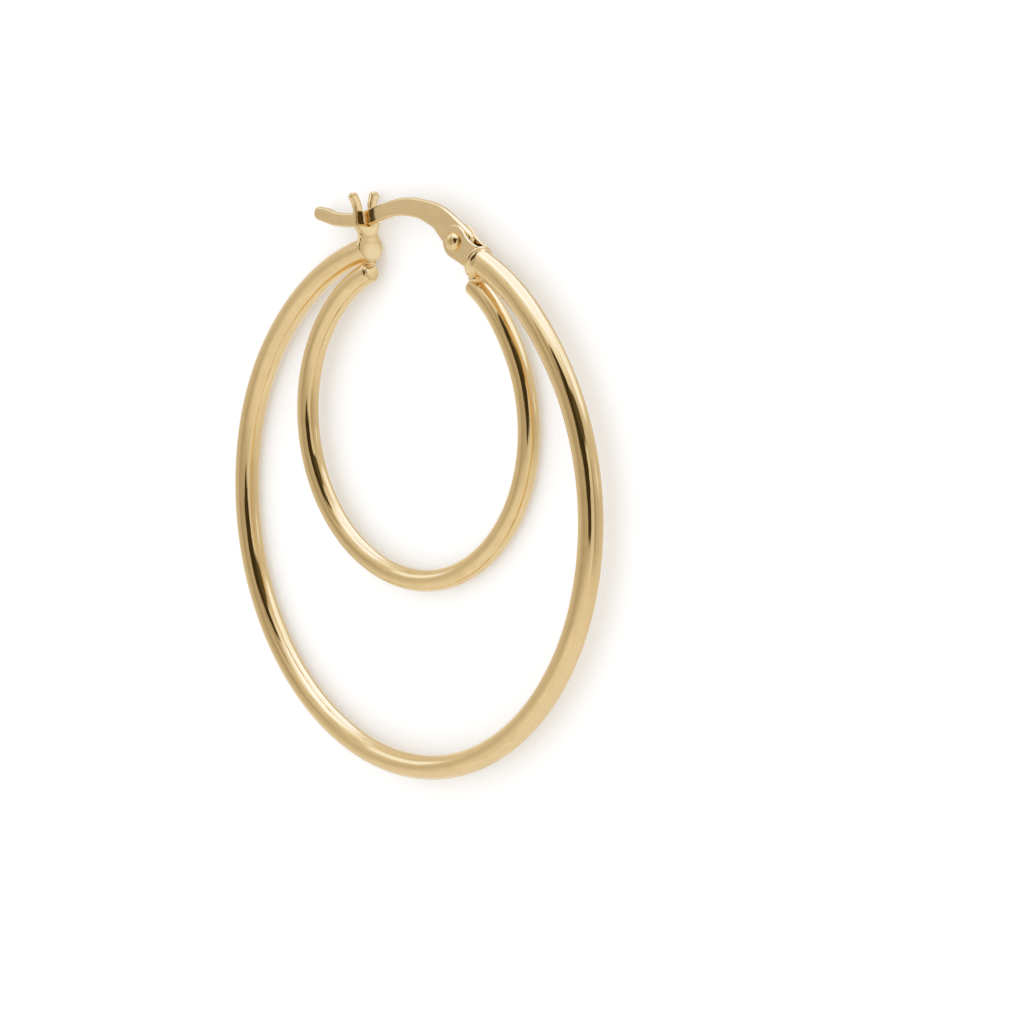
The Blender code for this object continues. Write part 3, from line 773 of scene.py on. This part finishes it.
def node(tree, kind, values=None, **settings):
    """Add a shader node; values holds its inputs by name or number, and a socket is linked."""
    item = tree.nodes.new(kind)
    for name, value in settings.items():
        setattr(item, name, value)
    for key, value in (values or {}).items():
        if isinstance(value, bpy.types.NodeSocket):
            tree.links.new(value, item.inputs[key])
        else:
            item.inputs[key].default_value = value
    return item


def calc(tree, operation, *values):
    """Result of a sum on numbers."""
    return node(tree, "ShaderNodeMath", dict(enumerate(values)), operation=operation).outputs[0]


def vector_calc(tree, operation, *values):
    """Number that an operation on vectors gives."""
    item = node(tree, "ShaderNodeVectorMath", dict(enumerate(values)), operation=operation)
    return item.outputs["Value"]


def noise_field(tree, place, scale, detail):
    """Noise from 0 to 1 over the given coordinates."""
    values = {"Vector": place, "Scale": scale, "Detail": detail}
    return node(tree, "ShaderNodeTexNoise", values).outputs["Fac"]


def stretched(tree, place, scale):
    """Coordinates times the scale of each axis."""
    return node(tree, "ShaderNodeMapping", {"Vector": place, "Scale": scale}).outputs[0]


def blended(tree, level, target, amount):
    """A level that goes over to the target where the amount is 1."""
    return calc(tree, "MULTIPLY_ADD", calc(tree, "SUBTRACT", target, level), amount, level)


def ramp(tree, factor, stops):
    """A colour ramp; each stop is a position and a grey level or a colour."""
    item = node(tree, "ShaderNodeValToRGB", {0: factor})
    elements = item.color_ramp.elements
    while len(elements) > 1:
        elements.remove(elements[-1])
    for index, (position, colour) in enumerate(stops):
        if not isinstance(colour, tuple):
            colour = (colour, colour, colour)
        element = elements[0] if index == 0 else elements.new(position)
        element.position = position
        element.color = (*colour, 1.0)
    return item.outputs["Color"]


def smooth_range(tree, value, low, high, out_low, out_high):
    """Smooth step of a value between two limits, from one result to another."""
    values = {
        "Value": value, "From Min": low, "From Max": high, "To Min": out_low, "To Max": out_high,
    }
    return node(tree, "ShaderNodeMapRange", values, interpolation_type="SMOOTHSTEP").outputs[0]


# Colours of polished and satin gold, and the way that the flat sides face
GOLD = (0.92, 0.71, 0.38)
SATIN_GOLD = (0.93, 0.73, 0.41)
SATIN_AXIS = (0.0, 0.0, 1.0)

# Range of a noise that counts as its whole swing
NOISE_LOW = 0.3
NOISE_HIGH = 0.7

# Faint clouds in the colour: cycles a metre, octaves and darkest and lightest share
CLOUD_SCALE = 900.0
CLOUD_DETAIL = 3.0
CLOUD_DARK = 0.96
CLOUD_LIGHT = 1.0

# Streaks and swells of the drawn tubes: cycles a millimetre along and round them, and their height
STREAK_SCALE = (0.16, 6.0, 6.0)
STREAK_HEIGHT = 0.011 * MM
SWELL_SCALE = (0.22, 1.1, 1.1)
SWELL_HEIGHT = 0.03 * MM

# Polishing marks and dents of the other pieces, and the hammered rivet: cycles a metre and height
MARK_SCALE = (9000.0, 1200.0, 3000.0)
MARK_HEIGHT = 0.0002 * MM
DENT_SCALE = (700.0, 700.0, 700.0)
DENT_HEIGHT = 0.004 * MM
PEEN_SCALE = (3000.0, 3000.0, 3000.0)
PEEN_HEIGHT = 0.05 * MM
MARK_DETAIL = 4.0
DENT_DETAIL = 1.0

# Roughness as shares of a finish: least, added by the clouds and added by the marks, and the range
# of the marks' noise over which they come up
ROUGH_BASE = 0.7
ROUGH_CLOUDS = 0.6
ROUGH_MARKS = 0.4
MARK_LOW = 0.45
MARK_HIGH = 0.75

# Satin sides: how squarely a surface must face the axis to start and to be full, cycles a metre and
# octaves of the fine grain, and the grain's least and greatest share of the satin roughness
SATIN_NONE = 0.93
SATIN_FULL = 0.995
DUST_SCALE = 14000.0
DUST_DETAIL = 4.0
DUST_LEAST = 0.88
DUST_MOST = 1.12

# Inputs of Blender's mix node by number, for colours and for numbers
MIX_COLOURS = (6, 7)
MIX_NUMBERS = (2, 3)


def gold(name, colour, polish, satin=None, drawn=False, peened=False):
    """Gold with polishing marks; flat sides can be satin, tubes drawn and the rivet hammered."""
    material = bpy.data.materials.new(name)
    material.use_nodes = True
    tree = material.node_tree
    shader = tree.nodes["Principled BSDF"]
    shader.inputs["Metallic"].default_value = 1.0
    coords = node(tree, "ShaderNodeTexCoord")
    place = coords.outputs["Object"]
    cloudy = noise_field(tree, place, CLOUD_SCALE, CLOUD_DETAIL)
    tone = smooth_range(tree, cloudy, NOISE_LOW, NOISE_HIGH, CLOUD_DARK, CLOUD_LIGHT)
    shades = {"Factor": 1.0, MIX_COLOURS[0]: (*colour, 1.0), MIX_COLOURS[1]: tone}
    shade = node(tree, "ShaderNodeMix", shades, data_type="RGBA", blend_type="MULTIPLY")
    tree.links.new(shade.outputs[2], shader.inputs["Base Color"])
    if drawn:
        way = node(tree, "ShaderNodeAttribute", attribute_name="grain").outputs["Vector"]
        mark_place = stretched(tree, way, STREAK_SCALE)
        mark_height = STREAK_HEIGHT
        dent_place = stretched(tree, way, SWELL_SCALE)
        dent_height = SWELL_HEIGHT
    else:
        mark_place = stretched(tree, place, MARK_SCALE)
        mark_height = MARK_HEIGHT
        dent_place = stretched(tree, place, PEEN_SCALE if peened else DENT_SCALE)
        dent_height = PEEN_HEIGHT if peened else DENT_HEIGHT
    marks = noise_field(tree, mark_place, 1.0, MARK_DETAIL)
    dents = noise_field(tree, dent_place, 1.0, DENT_DETAIL)
    mark_level = smooth_range(tree, marks, MARK_LOW, MARK_HIGH, 0.0, 1.0)
    level = calc(tree, "MULTIPLY_ADD", cloudy, polish * ROUGH_CLOUDS, polish * ROUGH_BASE)
    level = calc(tree, "MULTIPLY_ADD", mark_level, polish * ROUGH_MARKS, level)
    if satin is not None:
        facing = vector_calc(tree, "DOT_PRODUCT", coords.outputs["Normal"], SATIN_AXIS)
        facing = calc(tree, "ABSOLUTE", facing)
        flat = smooth_range(tree, facing, SATIN_NONE, SATIN_FULL, 0.0, 1.0)
        dust = noise_field(tree, place, DUST_SCALE, DUST_DETAIL)
        least = satin * DUST_LEAST
        most = satin * DUST_MOST
        dull = smooth_range(tree, dust, NOISE_LOW, NOISE_HIGH, least, most)
        levels = {"Factor": flat, MIX_NUMBERS[0]: level, MIX_NUMBERS[1]: dull}
        level = node(tree, "ShaderNodeMix", levels, data_type="FLOAT").outputs[0]
    tree.links.new(level, shader.inputs["Roughness"])
    dented = node(tree, "ShaderNodeBump", {
        "Height": dents, "Strength": 1.0, "Distance": dent_height,
    })
    marked = node(tree, "ShaderNodeBump", {
        "Height": marks, "Strength": 1.0, "Distance": mark_height, "Normal": dented.outputs[0],
    })
    tree.links.new(marked.outputs[0], shader.inputs["Normal"])
    return material


def dress(item, body, slot, material, *nodes):
    """Lay a piece on the floor with the frame, and give it its finish and its body."""
    item.matrix_world = REST @ item.matrix_world
    item.data.materials.clear()
    item.data.materials.append(material)
    item.data.shade_smooth()
    even = item.modifiers.new("Even", "WEIGHTED_NORMAL")
    even.mode = "FACE_AREA"
    even.weight = NORMAL_WEIGHT
    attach(item, body)
    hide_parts(*nodes)


# Studio: brightness by direction about the standing hoop. Azimuth counts from the camera to its
# right and elevation from the horizon to the clasp's side, in degrees. Columns: elevation, level.
SKY_LEVELS = [
    (-90, 0.82), (-45, 0.81), (-32, 0.78), (-22, 0.71), (-12, 0.60), (0, 0.57),
    (12, 0.60), (24, 0.66), (36, 0.68), (46, 0.74), (56, 0.90), (64, 1.02), (90, 1.10),
]

# Relative brightness of the horizon by azimuth, and the elevations where it is full and gone
HORIZON_LEVELS = [
    (-180, 1.45), (-155, 1.50), (-135, 1.20), (-112, 1.08), (-92, 1.05), (-80, 0.80), (-58, 0.78),
    (-50, 0.90), (-38, 0.85), (0, 1.0), (13, 1.22), (29, 1.22), (34, 0.82), (44, 0.74), (48, 0.76),
    (52, 0.98), (66, 1.0), (90, 1.12), (140, 1.18), (180, 1.45),
]
BAND_FULL = 10.0
BAND_NONE = 32.0

# A colour ramp holds 0 to 1, so these two tables are stored as shares of this
TABLE_TOP = 2.0

# Soft boxes and dark openings of the tent, all oval. Columns: azimuth, elevation, half width,
# half height, softness of the edge as a share of them, level
PATCHES = [
    (-62, 69, 56, 7, 0.2, 2.3),
    (136, 54, 50, 9, 0.2, 2.3),
    (-106, 29, 11, 16, 0.4, 1.05),
    (98, 40, 32, 13, 0.3, 1.1),
    (80, 46, 12, 12, 0.2, 1.5),
    (-40, 30, 15, 15, 0.3, 0.45),
    (-11, 20, 23, 31, 0.07, 0.035),
    (16, 33, 20, 10, 0.2, 0.10),
    (82, 10, 8, 6, 0.3, 0.88),
]

# Round soft box above the clasp: lean and its direction, radius and soft edge in degrees, level
OVERHEAD_LEAN = math.radians(4.0)
OVERHEAD_TURN = math.radians(100.0)
OVERHEAD_REACH = 27.0
OVERHEAD_SOFT = 2.0
OVERHEAD_LEVEL = 1.7

# Colour of the tent's light at a few levels: amber where gold would mirror gold, white where
# the cloth is lit and cool in the glare. Columns: level, red, green, blue
TENT_LIGHT = [
    (0.0, 0.02, 0.01, 0.00),
    (0.1, 0.10, 0.08, 0.04),
    (0.4, 0.41, 0.35, 0.27),
    (0.8, 0.83, 0.80, 0.77),
    (1.0, 1.03, 1.13, 1.35),
    (2.3, 1.22, 1.40, 2.20),
]
FULL_LEVEL = 2.3

# Folds of the tent's cloth: size in degrees, depth as a share of the level, and octaves
FOLD_WIDTH = 7.0
FOLD_HEIGHT = 30.0
FOLD_DEPTH = 0.07
FOLD_DETAIL = 3.0


def tent_level(tree, elevation, azimuth):
    """Brightness of the tent's cloth by direction, with its horizon and its folds."""
    by_height = calc(tree, "MULTIPLY_ADD", elevation, 1 / 180, 0.5)
    heights = [((height + 90) / 180, level / TABLE_TOP) for height, level in SKY_LEVELS]
    level = calc(tree, "MULTIPLY", ramp(tree, by_height, heights), TABLE_TOP)
    by_turn = calc(tree, "MULTIPLY_ADD", azimuth, 1 / 360, 0.5)
    turns = [((angle + 180) / 360, share / TABLE_TOP) for angle, share in HORIZON_LEVELS]
    horizon = ramp(tree, by_turn, turns)
    from_horizon = calc(tree, "ABSOLUTE", elevation)
    band = smooth_range(tree, from_horizon, BAND_FULL, BAND_NONE, 1.0, 0.0)
    share = calc(tree, "MULTIPLY_ADD", horizon, TABLE_TOP, -1.0)
    share = calc(tree, "MULTIPLY_ADD", share, band, 1.0)
    level = calc(tree, "MULTIPLY", level, share)
    across = calc(tree, "DIVIDE", azimuth, FOLD_WIDTH)
    upwards = calc(tree, "DIVIDE", elevation, FOLD_HEIGHT)
    folds = node(tree, "ShaderNodeCombineXYZ", {0: across, 1: upwards})
    cloth = noise_field(tree, folds.outputs[0], 1.0, FOLD_DETAIL)
    fold = smooth_range(tree, cloth, NOISE_LOW, NOISE_HIGH, 1 - FOLD_DEPTH, 1 + FOLD_DEPTH)
    return calc(tree, "MULTIPLY", level, fold)


def patched_level(tree, level, elevation, azimuth):
    """The level with the soft boxes and dark openings laid over it in turn."""
    for turn_at, height_at, half_width, half_height, soft, bright in PATCHES:
        above = calc(tree, "SUBTRACT", elevation, height_at)
        beside = calc(tree, "SUBTRACT", azimuth, turn_at)
        over = calc(tree, "DIVIDE", above, half_height)
        across = calc(tree, "DIVIDE", beside, half_width)
        offset = node(tree, "ShaderNodeCombineXYZ", {0: across, 1: over})
        away = vector_calc(tree, "LENGTH", offset.outputs[0])
        inside = smooth_range(tree, away, 1.0 - soft, 1.0 + soft, 1.0, 0.0)
        level = blended(tree, level, bright, inside)
    return level


def studio_world():
    """A white tent whose brightness goes by direction; only the gold's reflections see its form."""
    world = bpy.data.worlds.new("studio")
    bpy.context.scene.world = world
    world.use_nodes = True
    tree = world.node_tree
    tree.nodes.clear()
    direction = node(tree, "ShaderNodeTexCoord").outputs["Generated"]
    turn = REST.to_3x3()
    towards = CAMERA_PLACE.normalized()
    ahead = turn @ Vector((towards.x, 0.0, towards.z)).normalized()
    up = turn @ Vector((0.0, 1.0, 0.0))
    side = up.cross(ahead)

    def along(axis):
        return vector_calc(tree, "DOT_PRODUCT", direction, axis)

    elevation = calc(tree, "DEGREES", calc(tree, "ARCSINE", along(up)))
    azimuth = calc(tree, "DEGREES", calc(tree, "ARCTAN2", along(side), along(ahead)))
    level = tent_level(tree, elevation, azimuth)
    lean = ahead * math.cos(OVERHEAD_TURN) + side * math.sin(OVERHEAD_TURN)
    overhead = up * math.cos(OVERHEAD_LEAN) + lean * math.sin(OVERHEAD_LEAN)
    away = calc(tree, "DEGREES", calc(tree, "ARCCOSINE", along(overhead)))
    nearest = OVERHEAD_REACH - OVERHEAD_SOFT
    farthest = OVERHEAD_REACH + OVERHEAD_SOFT
    inside = smooth_range(tree, away, nearest, farthest, 1.0, 0.0)
    level = blended(tree, level, OVERHEAD_LEVEL, inside)
    level = patched_level(tree, level, elevation, azimuth)
    stops = []
    for bright, *light in TENT_LIGHT:
        stops.append((bright / FULL_LEVEL, tuple(value / FULL_LEVEL for value in light)))
    colour = ramp(tree, calc(tree, "DIVIDE", level, FULL_LEVEL), stops)
    mirrored = node(tree, "ShaderNodeBackground", {"Color": colour, "Strength": FULL_LEVEL})
    plain = node(tree, "ShaderNodeBackground", {"Color": WHITE, "Strength": 1.0})
    rays = node(tree, "ShaderNodeLightPath")
    shaders = {0: rays.outputs["Is Glossy Ray"], 1: plain.outputs[0], 2: mirrored.outputs[0]}
    mix = node(tree, "ShaderNodeMixShader", shaders)
    output = node(tree, "ShaderNodeOutputWorld")
    tree.links.new(mix.outputs[0], output.inputs["Surface"])


def white_floor():
    """A pale tabletop that takes the soft contact shade but isn't mirrored in the gold."""
    mesh = bpy.data.meshes.new("floor")
    work = bmesh.new()
    bmesh.ops.create_grid(work, x_segments=1, y_segments=1, size=FLOOR_HALF)
    work.to_mesh(mesh)
    work.free()
    floor = link_object("floor", mesh)
    floor.visible_glossy = False
    material = bpy.data.materials.new("floor_white")
    material.use_nodes = True
    shader = material.node_tree.nodes["Principled BSDF"]
    shader.inputs["Base Color"].default_value = FLOOR_GREY
    shader.inputs["Roughness"].default_value = FLOOR_ROUGHNESS
    shader.inputs["Emission Color"].default_value = WHITE
    shader.inputs["Emission Strength"].default_value = FLOOR_GLOW
    mesh.materials.append(material)


def photo_camera():
    """The photograph's camera, at its place and angle to the hoop."""
    back = Vector((
        math.sin(VIEW_AZIMUTH) * math.cos(VIEW_ELEVATION),
        math.sin(VIEW_ELEVATION),
        math.cos(VIEW_AZIMUTH) * math.cos(VIEW_ELEVATION),
    ))
    level = Vector((math.cos(VIEW_AZIMUTH), 0.0, -math.sin(VIEW_AZIMUTH)))
    upright = back.cross(level)
    right = level * math.cos(VIEW_ROLL) + upright * math.sin(VIEW_ROLL)
    up = upright * math.cos(VIEW_ROLL) - level * math.sin(VIEW_ROLL)
    camera = bpy.data.cameras.new("camera")
    camera.sensor_width = SENSOR_WIDTH
    camera.lens = FOCAL_PIXELS / PICTURE_PIXELS * SENSOR_WIDTH
    camera.clip_start = CLIP_NEAR
    camera.clip_end = CLIP_FAR
    item = bpy.data.objects.new("camera", camera)
    bpy.context.scene.collection.objects.link(item)
    item.matrix_world = REST @ frame_matrix(CAMERA_PLACE, right, up)
    bpy.context.scene.camera = item


# Roughness of each finish, and of the flat satin sides
TUBE_POLISH = 0.055
CAP_POLISH = 0.07
SHEET_POLISH = 0.08
SOLDER_POLISH = 0.13
RIVET_POLISH = 0.09
CATCH_SATIN = 0.1
LEVER_SATIN = 0.15


def main():
    """Camera, light and floor, then each piece with its finish and its body."""
    photo_camera()
    studio_world()
    white_floor()
    bpy.context.scene.view_settings.view_transform = "Standard"
    tube_gold = gold("tube_gold", GOLD, TUBE_POLISH, drawn=True)
    polished_gold = gold("polished_gold", GOLD, CAP_POLISH)
    plate_gold = gold("catch_gold", GOLD, SHEET_POLISH, satin=CATCH_SATIN)
    bracket_gold = gold("bracket_gold", SATIN_GOLD, SHEET_POLISH, satin=LEVER_SATIN)
    wire_gold = gold("wire_gold", SATIN_GOLD, SHEET_POLISH, satin=LEVER_SATIN)
    solder_gold = gold("solder_gold", GOLD, SOLDER_POLISH)
    rivet_gold = gold("rivet_gold", GOLD, RIVET_POLISH, peened=True)
    dress(outer_hoop(), "frame", "hoop_gold", tube_gold, "hoop_frame")
    dress(inner_hoop(), "frame", "hoop_gold", tube_gold, "hoop_frame")
    dress(inner_cap(), "frame", "hoop_gold", polished_gold, "hoop_frame")
    dress(catch_plate(), "frame", "hoop_gold", plate_gold, "hoop_frame")
    dress(catch_neck(), "frame", "hoop_gold", polished_gold, "hoop_frame")
    dress(hinge_bracket(), "frame", "hoop_gold", bracket_gold, "hoop_frame")
    hinge_seam = solder_seam("hinge_seam", HINGE_SEAM, HINGE_SEAM_THICKNESS, HINGE_SEAM_SINK)
    dress(hinge_seam, "frame", "hoop_gold", solder_gold, "hoop_frame")
    catch_seam = solder_seam("catch_seam", CATCH_SEAM, CATCH_SEAM_THICKNESS, CATCH_SEAM_SINK)
    dress(catch_seam, "frame", "hoop_gold", solder_gold, "hoop_frame")
    dress(ear_wire(), "ear_wire", "ear_wire_gold", wire_gold, "ear_wire")
    dress(rivet(), "frame", "rivet_gold", rivet_gold, "hinge_rivet")


main()
